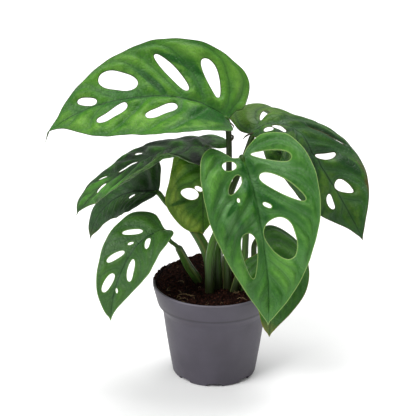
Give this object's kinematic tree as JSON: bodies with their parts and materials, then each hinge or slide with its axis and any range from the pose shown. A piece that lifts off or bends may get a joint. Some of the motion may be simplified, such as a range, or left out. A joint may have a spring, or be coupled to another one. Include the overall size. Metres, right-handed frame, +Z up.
{
  "type": "potted monstera adansonii",
  "caption": "Young Swiss cheese vine with arching, holed leaves on sheathed petioles, rooted in soil in a plain tapered nursery pot.",
  "frame": {"origin": "middle of the underside of the pot, on the plane it stands on", "axes": "+Z up along the pot's axis; +X to the viewer's right and +Y away from the viewer when the widest leaves are seen side on"},
  "size_m": [0.305, 0.1927, 0.3308],
  "materials": {
    "leaf_blade": "smooth green leaf with a waxy sheen",
    "petiole": "smooth green stalk, paler at the sheath",
    "soil": "dark crumbly peat with fibres",
    "pot_plastic": "thin moulded plastic, grey, satin"
  },
  "bodies": {
    "root": {"nursery_pot": "pot_plastic", "potting_soil": "soil", "petiole_top": "petiole", "petiole_front": "petiole", "petiole_right": "petiole", "petiole_left": "petiole", "petiole_left_back": "petiole", "petiole_low": "petiole", "petiole_centre": "petiole", "petiole_under": "petiole", "leaf_top": "leaf_blade", "leaf_front": "leaf_blade", "leaf_right": "leaf_blade", "leaf_left": "leaf_blade", "leaf_left_back": "leaf_blade", "leaf_low": "leaf_blade", "leaf_centre": "leaf_blade", "leaf_under": "leaf_blade"}
  },
  "joints": []
}
